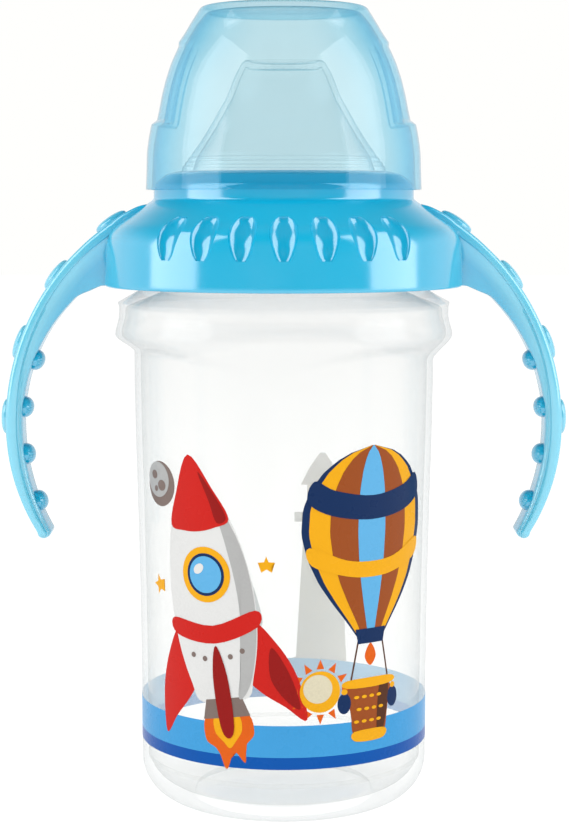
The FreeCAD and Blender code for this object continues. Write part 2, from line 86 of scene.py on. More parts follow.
def curved(points, steps=6):
    """A smooth line through the points, which may have any number of coordinates."""
    line = []
    last = len(points) - 1
    for number in range(last):
        a = Vector(points[max(number - 1, 0)])
        b = Vector(points[number])
        c = Vector(points[number + 1])
        d = Vector(points[min(number + 2, last)])
        for step in range(steps):
            t = step / steps
            spot = (b * 2 + (c - a) * t + (a * 2 - b * 5 + c * 4 - d) * t * t
                    + (b * 3 - a - c * 3 + d) * t * t * t) * 0.5
            line.append(tuple(spot))
    line.append(tuple(points[-1]))
    return line


def denser(line, gap, closed=True):
    """The same line with its long runs cut into steps of at most gap."""
    result = []
    for here, after in zip(line, line[1:] + (line[:1] if closed else [])):
        result.append(tuple(here))
        pieces = math.ceil(math.dist(here, after) / gap)
        for step in range(1, pieces):
            result.append(tuple(a + (b - a) * step / pieces for a, b in zip(here, after)))
    return result if closed else result + [tuple(line[-1])]


def height_of(table, x):
    """The straight-line value at x in a list of (x, value) pairs that rises in x."""
    if x <= table[0][0]:
        return table[0][1]
    for (x0, y0), (x1, y1) in zip(table, table[1:]):
        if x <= x1:
            return y0 + (y1 - y0) * (x - x0) / (x1 - x0)
    return table[-1][1]


def ease(share):
    """A smooth rise from 0 to 1."""
    share = min(1.0, max(0.0, share))
    return share * share * (3 - 2 * share)


# ---------------------------------------------------------------- meshes

def mesh_piece(name, points, faces, materials, crease=32):
    """A smooth-shaded object from points in millimetres. Edges sharper than crease degrees stay sharp."""
    data = bpy.data.meshes.new(name)
    data.from_pydata([tuple(c * MM for c in point) for point in points], [], faces)
    data.validate()
    piece = bpy.data.objects.new(name, data)
    scene.collection.objects.link(piece)
    for material in materials:
        data.materials.append(material)
    finish_mesh(piece, crease)
    return piece


def finish_mesh(piece, crease):
    work = bmesh.new()
    work.from_mesh(piece.data)
    bmesh.ops.remove_doubles(work, verts=work.verts, dist=1e-7)
    bmesh.ops.recalc_face_normals(work, faces=work.faces)
    work.to_mesh(piece.data)
    work.free()
    piece.data.shade_smooth()
    piece.data.set_sharp_from_angle(angle=math.radians(crease))


def revolve(name, outline, materials, segments=240, change=None, crease=32):
    """Turns a closed outline of (radius, height) about Z. change(radius, height, angle) may move a point."""
    points = []
    rings = []
    for x, z in outline:
        if x < 1e-6:
            rings.append([len(points)] * segments)
            points.append((0.0, 0.0, z))
            continue
        rings.append([len(points) + step for step in range(segments)])
        for step in range(segments):
            angle = TURN * step / segments
            radius, height = change(x, z, angle) if change else (x, z)
            points.append((radius * math.cos(angle), radius * math.sin(angle), height))
    return mesh_piece(name, points, ring_faces(rings, closed=outline[0][0] > 1e-6), materials, crease)


def ring_faces(rings, closed):
    """The faces between each ring of point numbers and the next one."""
    faces = []
    pairs = list(zip(rings, rings[1:]))
    if closed:
        pairs.append((rings[-1], rings[0]))
    for low, high in pairs:
        for step in range(len(low)):
            after = (step + 1) % len(low)
            corners = [low[step], low[after], high[after], high[step]]
            face = [c for n, c in enumerate(corners) if c != corners[n - 1]]
            if len(face) > 2:
                faces.append(face)
    return faces


def tube(name, sections, materials, crease=32):
    """A closed piece through a row of sections with the same number of points each, and with filled ends."""
    points = [point for section in sections for point in section]
    size = len(sections[0])
    rings = [[size * number + step for step in range(size)] for number in range(len(sections))]
    faces = ring_faces(rings, closed=False)
    faces.append(rings[0])
    faces.append(rings[-1])
    return mesh_piece(name, points, faces, materials, crease)


def combine(base, tools, operation, crease=32):
    """Joins the tools to the base, or cuts them from it, and removes them."""
    for tool in tools:
        step = base.modifiers.new("step", "BOOLEAN")
        step.operation = operation
        step.solver = "EXACT"
        step.object = tool
    bpy.context.view_layer.update()
    done = bpy.data.meshes.new_from_object(base.evaluated_get(bpy.context.evaluated_depsgraph_get()))
    base.modifiers.clear()
    base.data = done
    for tool in tools:
        bpy.data.objects.remove(tool)
    finish_mesh(base, crease)


def stand_for(piece, node, body):
    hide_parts(node)
    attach(piece, body)


# ---------------------------------------------------------------- materials

class Nodes:
    """A node material under construction."""

    def __init__(self, name):
        self.material = bpy.data.materials.new(name)
        self.material.use_nodes = True
        self.tree = self.material.node_tree
        self.tree.nodes.clear()
        self.output = self.tree.nodes.new("ShaderNodeOutputMaterial")
        self.place = self.tree.nodes.new("ShaderNodeTexCoord").outputs["Object"]

    def add(self, kind, **sockets):
        node = self.tree.nodes.new(kind)
        for name, value in sockets.items():
            self.put(node.inputs[name.replace("_", " ")], value)
        return node

    def put(self, socket, value):
        if isinstance(value, bpy.types.NodeSocket):
            self.tree.links.new(value, socket)
        elif socket.type == "RGBA":
            socket.default_value = (*value, 1.0)
        else:
            socket.default_value = value

    def noise(self, scale, detail=3.0):
        return self.add("ShaderNodeTexNoise", Vector=self.place, Scale=scale, Detail=detail).outputs["Fac"]

    def spread(self, value, low, high, start=0.0, end=1.0):
        node = self.tree.nodes.new("ShaderNodeMapRange")
        for number, item in enumerate((value, start, end, low, high)):
            self.put(node.inputs[number], item)
        return node.outputs[0]

    def tint(self, share, first, second):
        node = self.tree.nodes.new("ShaderNodeMix")
        node.data_type = "RGBA"
        self.put(node.inputs[0], share)
        self.put(node.inputs[6], first)
        self.put(node.inputs[7], second)
        return node.outputs[2]

    def sum_up(self, operation, first, second):
        node = self.tree.nodes.new("ShaderNodeMath")
        node.operation = operation
        self.put(node.inputs[0], first)
        self.put(node.inputs[1], second)
        return node.outputs[0]

    def bump(self, height, distance, normal=None):
        node = self.add("ShaderNodeBump", Height=height, Distance=distance, Strength=1.0)
        if normal:
            self.put(node.inputs["Normal"], normal)
        return node.outputs["Normal"]

    def finish(self, shader):
        self.tree.links.new(shader, self.output.inputs["Surface"])
        return self.material


def moulded_surface(nodes, roughness, ripple):
    """Roughness and normal of a moulded surface: a faint flow ripple and a finer grain."""
    flow = nodes.noise(55.0)
    grain = nodes.noise(900.0, 2.0)
    normal = nodes.bump(flow, ripple * MM)
    normal = nodes.bump(grain, 0.0012 * MM, normal)
    return nodes.spread(flow, roughness * 0.8, roughness * 1.25, 0.3, 0.7), normal


def blue_plastic(name):
    """Glossy blue moulded plastic.

    The handles are painted paler than the bell, as painted light that stands in for light coming through
    them, except in the recessed web and knobs on the inner side of the strap, which are painted deeper as
    painted shade.
    """
    nodes = Nodes(name)
    rough, normal = moulded_surface(nodes, 0.14, 0.012)
    cloud = nodes.spread(nodes.noise(30.0), 0.0, 1.0, 0.35, 0.65)
    thick = nodes.tint(cloud, (0.0, 0.375, 0.60), (0.004, 0.39, 0.62))
    sides = nodes.add("ShaderNodeSeparateXYZ", Vector=nodes.place).outputs
    out = nodes.sum_up("ABSOLUTE", sides["X"], 0.0)
    width = nodes.sum_up("ABSOLUTE", sides["Y"], 0.0)
    flat = nodes.add("ShaderNodeCombineXYZ", X=out, Z=sides["Z"]).outputs[0]
    reach = nodes.tree.nodes.new("ShaderNodeVectorMath")
    reach.operation = "DISTANCE"
    nodes.put(reach.inputs[0], flat)
    reach.inputs[1].default_value = (OUTER_ARC[0] * MM, 0.0, HANDLE_MIDDLE * MM)
    inside = nodes.spread(reach.outputs["Value"], 1.0, 0.0, 47.6 * MM, 48.6 * MM)
    # Painted shade: where the handle narrows into the recessed web and knobs, the pale tint is taken back
    # towards the deep blue.
    painted_web_shade = nodes.spread(width, 1.0, 0.15, 3.2 * MM, 4.2 * MM)
    # Painted light: out from the bell, the handles get a paler base colour that stands in for light coming
    # through them.
    painted_through_light = nodes.spread(out, 0.0, 1.0, 30.0 * MM, 43.0 * MM)
    pale = nodes.sum_up("SUBTRACT", painted_through_light, nodes.sum_up("MULTIPLY", inside, painted_web_shade))
    # The pale blue is the painted through-light colour; the deep blue is the plastic's own colour.
    colour = nodes.tint(nodes.spread(pale, 0.0, 1.0, 0.0, 1.0), thick, (0.13, 0.53, 0.70))
    shader = nodes.add(
        "ShaderNodeBsdfPrincipled", Base_Color=colour, Roughness=rough, Normal=normal, IOR=2.2)
    return nodes.finish(shader.outputs[0])


def see_through(name, filters, haze_colour, hazes, power, roughness, ripple, face_shine=0.04,
                edge_shine=1.0):
    """Thin clear plastic: a colour filter that deepens towards the edges, and a haze that hides more there.

    filters and hazes each hold the value face on and the value edge on.
    """
    nodes = Nodes(name)
    rough, normal = moulded_surface(nodes, roughness, ripple)
    facing = nodes.add("ShaderNodeLayerWeight", Blend=0.5).outputs["Facing"]
    edge = nodes.sum_up("POWER", facing, power)
    clear = nodes.add("ShaderNodeBsdfTransparent", Color=nodes.tint(edge, *filters))
    solid = nodes.add(
        "ShaderNodeBsdfPrincipled", Base_Color=haze_colour, Roughness=rough, Normal=normal, IOR=1.2)
    cloud = nodes.spread(nodes.noise(40.0), 0.94, 1.06, 0.3, 0.7)
    haze = nodes.sum_up("MULTIPLY", nodes.spread(edge, *hazes), cloud)
    veiled = nodes.add("ShaderNodeMixShader", Fac=haze)
    nodes.tree.links.new(clear.outputs[0], veiled.inputs[1])
    nodes.tree.links.new(solid.outputs[0], veiled.inputs[2])
    gloss = nodes.add("ShaderNodeBsdfGlossy", Roughness=rough, Normal=normal)
    shine = nodes.spread(nodes.sum_up("POWER", facing, 5.0), face_shine, edge_shine)
    mixed = nodes.add("ShaderNodeMixShader", Fac=shine)
    nodes.tree.links.new(veiled.outputs[0], mixed.inputs[1])
    nodes.tree.links.new(gloss.outputs[0], mixed.inputs[2])
    return nodes.finish(mixed.outputs[0])


def ink(name, colour, darker=0.8):
    """Printed ink: a fine screen of dots that lets a little of the darker tone through."""
    nodes = Nodes(name)
    dots = nodes.spread(nodes.noise(2600.0, 1.0), 0.0, 1.0, 0.35, 0.65)
    cloud = nodes.spread(nodes.noise(60.0), 0.0, 0.35, 0.35, 0.65)
    deep = tuple(c * darker for c in colour)
    tone = nodes.tint(nodes.sum_up("MULTIPLY", dots, cloud), colour, deep)
    shader = nodes.add(
        "ShaderNodeBsdfPrincipled", Base_Color=tone, IOR=1.22,
        Roughness=nodes.spread(nodes.noise(200.0), 0.22, 0.34),
        Normal=nodes.bump(dots, 0.002 * MM))
    return nodes.finish(shader.outputs[0])


def floor_material():
    nodes = Nodes("pale_floor")
    cloud = nodes.noise(3.0)
    shader = nodes.add(
        "ShaderNodeBsdfPrincipled", Base_Color=nodes.tint(cloud, (0.16, 0.16, 0.16), (0.18, 0.18, 0.18)),
        Roughness=0.9, Specular_IOR_Level=0.0,
        Emission_Color=nodes.tint(cloud, (0.99, 0.99, 0.985), (1.0, 1.0, 0.995)), Emission_Strength=0.985)
    return nodes.finish(shader.outputs[0])


# ---------------------------------------------------------------- cup

LOBE_COUNT = 3
LOBE_TURN = math.radians(-98)
WAVE_TOP = 97.6
WAVE_HIGH = 94.3
WAVE_LOW = 90.0
THREAD_PITCH = 4.0
THREAD_RISE = 5.0
THREAD_DEPTH = 1.5
SIDE = [(8.5, 30.0), (20.0, 30.0), (42.0, 30.2), (56.0, 30.45), (68.0, 30.7), (75.0, 30.9), (88.0, 31.1),
        (106.0, 31.3)]


def wave_start(angle):
    """Where the bulge under the neck begins at this angle. It hangs lowest at the middle of each lobe."""
    hang = 0.5 + 0.5 * math.cos(LOBE_COUNT * (angle - LOBE_TURN))
    return WAVE_HIGH - (WAVE_HIGH - WAVE_LOW) * hang ** 1.5


def thread_share(angle, z, start):
    """How far a point at this height is up the thread's flank, from 0 at its root to 1 on its crest."""
    share = 0.0
    for turn in (0, 1):
        along = (angle % TURN) / TURN + turn
        if along * THREAD_PITCH > THREAD_RISE:
            continue
        off = abs(z - start - along * THREAD_PITCH)
        fade = ease(along / 0.04) * ease((THREAD_RISE / THREAD_PITCH - along) / 0.04)
        share = max(share, fade * min(1.0, max(0.0, (1.2 - off) / 0.7)))
    return share


def cup_change(x, z, angle):
    if 88.5 < z < 97.0 and x < 34.0:
        start = wave_start(angle)
        base = 31.1 if x > 30.5 else 29.8
        full = base + 3.9
        x = base + (full - base) * ease((z - start) / (WAVE_TOP - start)) ** 0.9
    if 108.5 < z < 119.0 and x > 27.0:
        x += THREAD_DEPTH * thread_share(angle, z, 111.7)
    return x, z


def make_cup(material):
    wall = 1.3
    side = [(r, z) for z, r in SIDE[:-1]]
    outer = rounded([(0, 1.9, 0), (18.4, 1.6, 0.8), (18.9, 0.0, 0.5), (21.5, 0.0, 0)], closed=False)
    for step in range(1, 12):
        angle = 0.5 * math.pi * step / 12
        outer.append((21.5 + 8.5 * math.sin(angle), 8.5 - 8.5 * math.cos(angle)))
    outer += curved(side, 8)
    outer += [(31.1, 88.5 + 0.3 * step) for step in range(29)]
    outer += curved([(35.0, 97.4), (34.95, 98.4), (34.5, 100.0), (34.2, 101.4), (34.2, 103.0)], 5)
    outer += rounded(
        [(34.2, 103.2, 0), (34.45, 104.2, 0.25), (29.5, 107.0, 0.5), (27.2, 107.8, 0.6)], 4, False)
    outer += [(27.2, 108.4 + 0.25 * step) for step in range(44)]
    outer += rounded([(27.2, 119.6, 0), (27.2, 120.5, 0.6), (25.0, 120.5, 0.6), (25.0, 119.0, 0)], 4, False)
    inner = [(25.0, 116.0), (25.0, 111.0)]
    inner += rounded([(25.0, 108.0, 0), (25.2, 106.4, 1.0), (32.9, 103.2, 1.0), (32.9, 101.4, 0)], 4, False)
    inner += curved([(32.9, 101.4), (33.3, 100.0), (33.7, 98.4), (33.7, 97.4)], 4)
    inner += [(29.8, 96.9 - 0.4 * step) for step in range(21)]
    inner += [(r - wall, z) for r, z in reversed(side)]
    for step in range(1, 12):
        angle = 0.5 * math.pi * step / 12
        inner.append((21.6 + 7.1 * math.cos(angle), 10.4 - 7.0 * math.sin(angle)))
    inner += [(21.0, 3.4), (10.0, 3.4), (0.0, 3.5)]
    piece = revolve("cup_body_shell", outer + inner, [material], 360, cup_change, crease=40)
    stand_for(piece, "cup_body", "cup")
    return piece


# ---------------------------------------------------------------- collar

FLUTE_PITCH = math.radians(12.8)
FLUTES_EACH_SIDE = 3


def sleeve_change(x, z, angle):
    if 109.0 < z < 118.0 and 29.0 < x < 29.4:
        x -= THREAD_DEPTH * thread_share(angle, z, 109.7)
    return x, z


def make_bell(material):
    outline = rounded([
        (37.15, 107.5, 0.45),
        (36.75, 118.66, 6.0),
        (26.9, 125.38, 0.9),
        (26.9, 128.4, 1.4),
        (24.4, 130.5, 3.0),
        (21.4, 131.2, 0.4),
        (21.4, 129.5, 0.4),
        (25.0, 129.5, 0.4),
        (25.0, 122.1, 0.3),
        (29.2, 122.1, 0.4),
        (29.2, 108.4, 0.4),
        (30.8, 108.4, 0.4),
        (30.8, 118.4, 0.6),
        (32.8, 116.4, 0.8),
        (34.9, 107.5, 0.4),
    ], 8)
    return revolve("collar_moulding", denser(outline, 0.7), [material], 288, sleeve_change)


def flute_cutter(angle, material):
    """A bent spindle that follows the bell's shoulder and hollows one flute into it."""
    path = curved([(31.6, 122.3), (33.6, 120.9), (35.5, 119.1), (36.6, 116.6), (36.95, 113.2)], 6)
    sections = []
    last = len(path) - 1
    for number in range(1, last):
        x, z = path[number]
        ahead = Vector(path[number + 1]) - Vector(path[number - 1])
        out = Vector((-ahead.y, ahead.x)).normalized()
        if out.x < 0:
            out.negate()
        share = 2.0 * number / last - 1.0
        swell = (1.0 - share * share) ** 0.55
        section = []
        for step in range(24):
            turn = TURN * step / 24
            rise = 1.7 * swell * math.sin(turn)
            across = 2.8 * swell * math.cos(turn)
            r = x + out.x * rise
            section.append((
                r * math.cos(angle) - across * math.sin(angle),
                r * math.sin(angle) + across * math.cos(angle),
                z + out.y * rise,
            ))
        sections.append(section)
    return tube("cutter", sections, [material])


def on_arc(centre_x, radius, degrees):
    angle = math.radians(degrees)
    return centre_x + radius * math.cos(angle), HANDLE_MIDDLE + radius * math.sin(angle)


def handle_rows():
    """Pairs of points down the handle at +X: one on its outer edge, one on its inner edge."""
    rows = [
        ((28.3, 124.35), (28.3, 122.9)),
        ((30.2, 123.85), (29.5, 122.0)),
        ((33.0, 122.45), (32.0, 120.5)),
        ((35.2, 121.0), (34.4, 118.0)),
        ((36.3, 120.2), (35.5, 112.5)),
        ((37.3, 119.45), (35.8, 108.0)),
        ((38.9, 118.2), (37.9, 107.5)),
        ((40.9, 116.5), (40.1, 106.55)),
    ]
    for step in range(13):
        share = 1 - step / 12
        rows.append((on_arc(*OUTER_ARC, 43.0 * share), on_arc(*INNER_ARC, 47.2 * share)))
    for step in range(1, 9):
        share = -step / 8
        rows.append((on_arc(*LOW_OUTER_ARC, 31.6 * share), on_arc(*LOW_INNER_ARC, 28.7 * share)))
    return rows


def handle_section(outer, inner, side, narrow=1.0):
    """One cross-section: a rounded strap, a fine groove, and a rib that is dished where it is deep."""
    outer, inner = Vector(outer), Vector(inner)
    depth = (inner - outer).length
    down = (inner - outer).normalized()
    half = 5.0 * narrow
    strap = min(2.3, 0.68 * depth)
    web = max(depth - strap, 0.2)
    dish = 0.55 + 1.5 * ease((depth - 3.6) / 6.5)
    corner = min(1.3, 0.55 * strap)
    edge = [(0.0, -0.12), (half - corner, 0.0)]
    for step in range(1, 6):
        turn = 0.5 * math.pi * step / 5
        edge.append((half - corner + corner * math.sin(turn), corner - corner * math.cos(turn)))
    edge += [(half, strap - 0.25), (half - 0.12, strap - 0.02), (half - 0.42, strap + 0.08)]
    shoulder = half - 0.3
    for step in range(1, 8):
        share = step / 8
        edge.append((shoulder - dish * ease(share) ** 0.8, strap + 0.3 + (web - 0.7) * share))
    foot = shoulder - dish
    edge += [(foot - 0.12, depth - 0.22), (foot - 0.45, depth - 0.03), (foot * 0.4, depth)]
    loop = edge + [(-y, n) for y, n in reversed(edge) if y > 0]
    return [
        (side * (outer.x + down.x * n), side * y, outer.y + down.y * n)
        for y, n in loop
    ]


def make_handle(side, material):
    rows = handle_rows()
    smooth = curved([(*outer, *inner) for outer, inner in rows], 4)
    sections = [handle_section(row[:2], row[2:], side) for row in smooth]
    outer, inner = Vector(smooth[-1][:2]), Vector(smooth[-1][2:])
    middle = (outer + inner) / 2
    across = (outer - inner) / 2
    along = Vector((across.y, -across.x))
    for step in range(1, 8):
        turn = math.radians(84) * step / 7
        shift = along * math.sin(turn)
        spread = across * math.cos(turn)
        sections.append(handle_section(
            middle + shift + spread, middle + shift - spread, side, 1.0 - 0.32 * (1 - math.cos(turn))))
    return tube("handle", sections, [material])


def swelling(x, z, lean, half_length, half_width, rise, power, side, material):
    """A soft raised pad, centred on (x, z) and leaning by an angle in degrees. Its boundary is an ellipse."""
    angle = math.radians(lean)
    out = Vector((math.cos(angle), math.sin(angle)))
    along = Vector((-math.sin(angle), math.cos(angle)))
    sections = []
    for ring in range(17):
        spot = -math.cos(math.pi * ring / 16)
        reach = max(1e-3, 1 - abs(spot) ** 2) ** 0.5
        section = []
        for step in range(28):
            turn = TURN * step / 28
            y = half_width * reach * math.cos(turn)
            up = math.copysign(abs(math.sin(turn)) ** power, math.sin(turn)) * reach ** power * rise
            spread = out * up + along * (spot * half_length)
            section.append((side * (x + spread.x), side * y, z + spread.y))
        sections.append(section)
    return tube("swelling", sections, [material])


def make_collar(material):
    bell = make_bell(material)
    cutters = []
    for way in (FRONT, -FRONT):
        for number in range(-FLUTES_EACH_SIDE, FLUTES_EACH_SIDE + 1):
            cutters.append(flute_cutter(way + FLUTE_PITCH * number, material))
    combine(bell, cutters, "DIFFERENCE")
    for side in (1, -1):
        parts = []
        for number in range(4):
            degrees = 1.8 + 17.9 * number
            x, z = on_arc(*OUTER_ARC, degrees)
            parts.append(swelling(x, z, degrees, 3.7, 3.3, 1.3, 0.7, side, material))
        for number in range(4):
            z = 92.1 - 9.9 * number
            centre, radius = INNER_ARC if z > HANDLE_MIDDLE else LOW_INNER_ARC
            lean = math.degrees(math.asin((z - HANDLE_MIDDLE) / radius))
            x, z = on_arc(centre, radius, lean)
            parts.append(swelling(x, z, lean + 180, 2.2, 3.3, 2.0, 0.9, side, material))
        handle = make_handle(side, material)
        combine(handle, parts, "UNION")
        combine(bell, [handle], "UNION")
    finish_mesh(bell, 30)
    stand_for(bell, "collar", "collar")
    return bell


# ---------------------------------------------------------------- spout and valve

def oval(half_width, half_depth, z, power=2.0, count=144):
    ring = []
    for step in range(count):
        angle = TURN * step / count
        c, s = math.cos(angle), math.sin(angle)
        ring.append((
            half_width * math.copysign(abs(c) ** (2 / power), c),
            half_depth * math.copysign(abs(s) ** (2 / power), s),
            z,
        ))
    return ring


def make_spout(material):
    foot = [
        (28.2, 120.5), (28.2, 122.05), (21.4, 122.1), (21.0, 122.5), (21.0, 131.7), (20.9, 132.2),
        (20.5, 132.3), (20.35, 133.0), (19.9, 133.15), (19.7, 133.9), (19.2, 134.1), (18.9, 134.8),
    ]
    nozzle = curved([
        (18.9, 18.9, 134.8), (17.3, 16.2, 137.0), (15.4, 13.0, 140.0), (13.1, 9.4, 144.0),
        (11.7, 7.6, 146.5),
        (10.2, 5.9, 150.2), (8.9, 5.0, 152.8), (8.4, 4.7, 153.4),
    ], 6)
    rings = [oval(radius, radius, z) for radius, z in foot]
    rings += [oval(a, b, z) for a, b, z in nozzle[1:]]
    rings += [oval(7.9, 4.2, 153.75), oval(7.2, 3.5, 153.8), oval(6.7, 3.0, 153.3), oval(5.0, 2.2, 153.1)]
    tip = len(rings)
    rings += [oval(4.0, 1.6, 151.9), oval(7.0, 3.4, 151.9)]
    rings += [oval(a - 1.1, b - 1.1, z - 0.3) for a, b, z in reversed(nozzle[6:-6])]
    socket = [(17.9, 134.0), (18.95, 131.0), (19.0, 121.0), (19.0, 120.5)]
    rings += [oval(radius, radius, z) for radius, z in socket]
    size = len(rings[0])
    points = [point for ring in rings for point in ring]
    numbers = [[size * n + step for step in range(size)] for n in range(len(rings))]
    faces = ring_faces(numbers[:tip], False)
    faces += ring_faces(numbers[tip:], False)
    faces += ring_faces([numbers[-1], numbers[0]], False)
    faces += [numbers[tip - 1], numbers[tip]]
    piece = mesh_piece("spout_silicone", points, faces, [material], 34)
    slit = tube("slit", [oval(2.5, 0.2, 150.5, 2.0, 24), oval(2.5, 0.2, 154.5, 2.0, 24)], [material])
    combine(piece, [slit], "DIFFERENCE", 34)
    stand_for(piece, "spout", "spout")
    return piece


def make_valve(material):
    outline = rounded([
        (18.92, 121.4, 0.4), (18.92, 127.0, 0.4), (17.4, 127.0, 0.4), (17.4, 122.8, 0.5), (5.6, 122.8, 0.8),
        (4.8, 124.6, 1.2), (3.0, 125.8, 1.4), (0.0, 126.0, 0), (0.0, 124.6, 0), (2.6, 124.3, 1.0),
        (3.8, 121.9, 0.8), (5.2, 121.4, 0.5),
    ], 5)
    piece = revolve("flow_valve_silicone", denser(outline, 1.0), [material], 128)
    slit = tube("slit", [oval(2.2, 0.2, 120.0, 2.0, 24), oval(2.2, 0.2, 127.5, 2.0, 24)], [material])
    combine(piece, [slit], "DIFFERENCE", 34)
    stand_for(piece, "flow_valve", "valve")
    return piece


# ---------------------------------------------------------------- cap

CAP_DOME = [(28.5, 127.3), (28.35, 131.0), (28.2, 135.0), (27.75, 138.3), (27.3, 140.6), (26.8, 143.4),
            (26.1, 146.5), (25.15, 150.0), (23.9, 153.2), (22.3, 156.2), (20.15, 159.5), (19.2, 161.1)]
GRIP_FLOOR = [(141.0, 26.25), (143.2, 25.75), (146.5, 25.1), (149.7, 24.3), (153.0, 23.2), (154.6, 22.5),
              (156.5, 21.6)]
GRIP_HALF = math.radians(28)
CAP_WALL = 1.2


def grip_share(angle):
    """1 inside either finger recess at the sides, 0 outside, with a narrow ramp between."""
    off = abs(math.remainder(angle, math.pi))
    return ease((GRIP_HALF - off) / math.radians(1.2) + 0.5)


def make_cap(material):
    def shape(x, z, angle):
        inset = 0.0 if (x, z) in outer_spots else CAP_WALL
        level = z + 0.4 * inset
        if 140.7 < level < 157.5:
            floor = height_of(GRIP_FLOOR, level) - inset
            step = ease((level - 140.8) / 0.5)
            if floor < x:
                x += (floor - x) * step * grip_share(angle)
        return x, z

    dome = curved(CAP_DOME, 6)
    outer = [(28.5, 127.45)] + dome[1:]
    outer = denser(outer, 0.6, closed=False)[:-1]
    outer += rounded([(19.2, 161.1, 0), (17.0, 164.6, 1.4), (0.0, 165.4, 0)], 8, False)
    outer_spots = set(outer)
    inner = [(max(0.0, x - CAP_WALL), z - 0.25 * CAP_WALL) for x, z in dome[2:]]
    inner = denser(inner, 0.6, closed=False)[:-1]
    inner += rounded([(18.0, 160.8, 0), (15.9, 163.4, 1.0), (0.0, 164.2, 0)], 6, False)
    foot = [(27.5, 127.3), (28.3, 127.3)]
    outline = list(reversed(inner)) + foot + outer
    piece = revolve("cap_hood", outline, [material], 360, shape, 30)
    stand_for(piece, "cap", "cap")
    return piece


# ---------------------------------------------------------------- print on the cup

# Thickness of an ink layer, how far the pictures and bands stand off the wall, and the bands' thickness.
LAYER = 0.035
PICTURE_LIFT = 0.06
BAND_LIFT = 0.035
BAND_BACK_LIFT = 0.018
BAND_THICKNESS = 0.015
ROUND_RADIUS = 30.5
# How much of an ink's colour shows through from behind, over the pale underprint.
INK_SHOWING_BEHIND = 0.12
UNDERPRINT = (0.92, 0.90, 0.86)
INKS = {
    "red": (0.50, 0.012, 0.008),
    "dark_red": (0.25, 0.006, 0.005),
    "white": (0.62, 0.62, 0.61),
    "grey": (0.37, 0.37, 0.365),
    "stone": (0.18, 0.135, 0.12),
    "gold": (0.72, 0.34, 0.006),
    "orange": (0.62, 0.10, 0.006),
    "navy": (0.004, 0.022, 0.085),
    "brown": (0.27, 0.062, 0.012),
    "dark_brown": (0.075, 0.024, 0.010),
    "sky": (0.10, 0.36, 0.62),
    "cream": (0.60, 0.55, 0.40),
}


def on_cup(across, z, lift):
    """The point on the cup's outside at this distance round from the front, at this height."""
    radius = height_of(SIDE, z) + lift
    angle = FRONT + across / ROUND_RADIUS
    return radius * math.cos(angle), radius * math.sin(angle), z


def print_picture(name, shapes, inks, offset):
    """A printed picture of shapes (outline, ink, layer), in millimetres round the cup and up.

    Its back is the pale underprint.
    """
    names = list(INKS)
    work = bmesh.new()
    for outline, ink_name, layer in shapes:
        flat = bmesh.new()
        flat.faces.new([flat.verts.new((x + offset, 0.0, z)) for x, z in outline])
        bmesh.ops.triangulate(flat, faces=flat.faces[:])
        for direction, gap in ((Vector((1, 0, 0)), 0.8), (Vector((0, 0, 1)), 4.0)):
            reach = [v.co.dot(direction) for v in flat.verts]
            for step in range(math.ceil(min(reach) / gap), math.ceil(max(reach) / gap)):
                bmesh.ops.bisect_plane(
                    flat, geom=flat.verts[:] + flat.edges[:] + flat.faces[:],
                    plane_co=direction * (gap * step), plane_no=direction)
        bmesh.ops.triangulate(flat, faces=flat.faces[:])
        flat.verts.index_update()
        lift = PICTURE_LIFT + LAYER * layer
        top = [work.verts.new(on_cup(v.co.x, v.co.z, lift)) for v in flat.verts]
        low = [work.verts.new(on_cup(v.co.x, v.co.z, lift - LAYER * 0.3)) for v in flat.verts]
        number = names.index(ink_name)
        for face in flat.faces:
            spots = [v.index for v in face.verts]
            work.faces.new([top[spot] for spot in spots]).material_index = number
            work.faces.new([low[spot] for spot in reversed(spots)]).material_index = number + len(names)
        for rim in flat.edges:
            if len(rim.link_faces) == 1:
                a, b = (v.index for v in rim.verts)
                work.faces.new([top[a], top[b], low[b], low[a]]).material_index = number
        flat.free()
    for vert in work.verts:
        vert.co *= MM
    bmesh.ops.recalc_face_normals(work, faces=work.faces)
    data = bpy.data.meshes.new(name)
    work.to_mesh(data)
    work.free()
    piece = bpy.data.objects.new(name, data)
    scene.collection.objects.link(piece)
    for material in inks:
        data.materials.append(material)
    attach(piece, "cup")


def ellipse(x, z, half_width, half_height, lean=0.0, count=36):
    turn = math.radians(lean)
    ring = []
    for step in range(count):
        angle = TURN * step / count
        a, b = half_width * math.cos(angle), half_height * math.sin(angle)
        ring.append((
            x + a * math.cos(turn) - b * math.sin(turn),
            z + a * math.sin(turn) + b * math.cos(turn),
        ))
    return ring


def blob(points, steps=5):
    """A smooth closed outline through the points."""
    ring = curved([points[-1]] + points + points[:2], steps)
    return ring[steps:-steps - 1]


def mirrored(points):
    return [(-x, z) for x, z in reversed(points)]


def both_sides(half):
    """A closed outline from its right half, listed from the top down."""
    return half + [(-x, z) for x, z in reversed(half) if x > 0.01]


def star(x, z, size, lean=0.0):
    ring = []
    for step in range(10):
        angle = math.radians(90 + lean) + TURN * step / 10
        reach = size if step % 2 == 0 else 0.45 * size
        ring.append((x + reach * math.cos(angle), z + reach * math.sin(angle)))
    return ring


def leaning(shapes, degrees, z):
    """The shapes turned by an angle about the point (0, z)."""
    turn = math.radians(degrees)
    c, s = math.cos(turn), math.sin(turn)
    return [
        ([(x * c - (y - z) * s, z + x * s + (y - z) * c) for x, y in outline], ink_name, layer)
        for outline, ink_name, layer in shapes
    ]


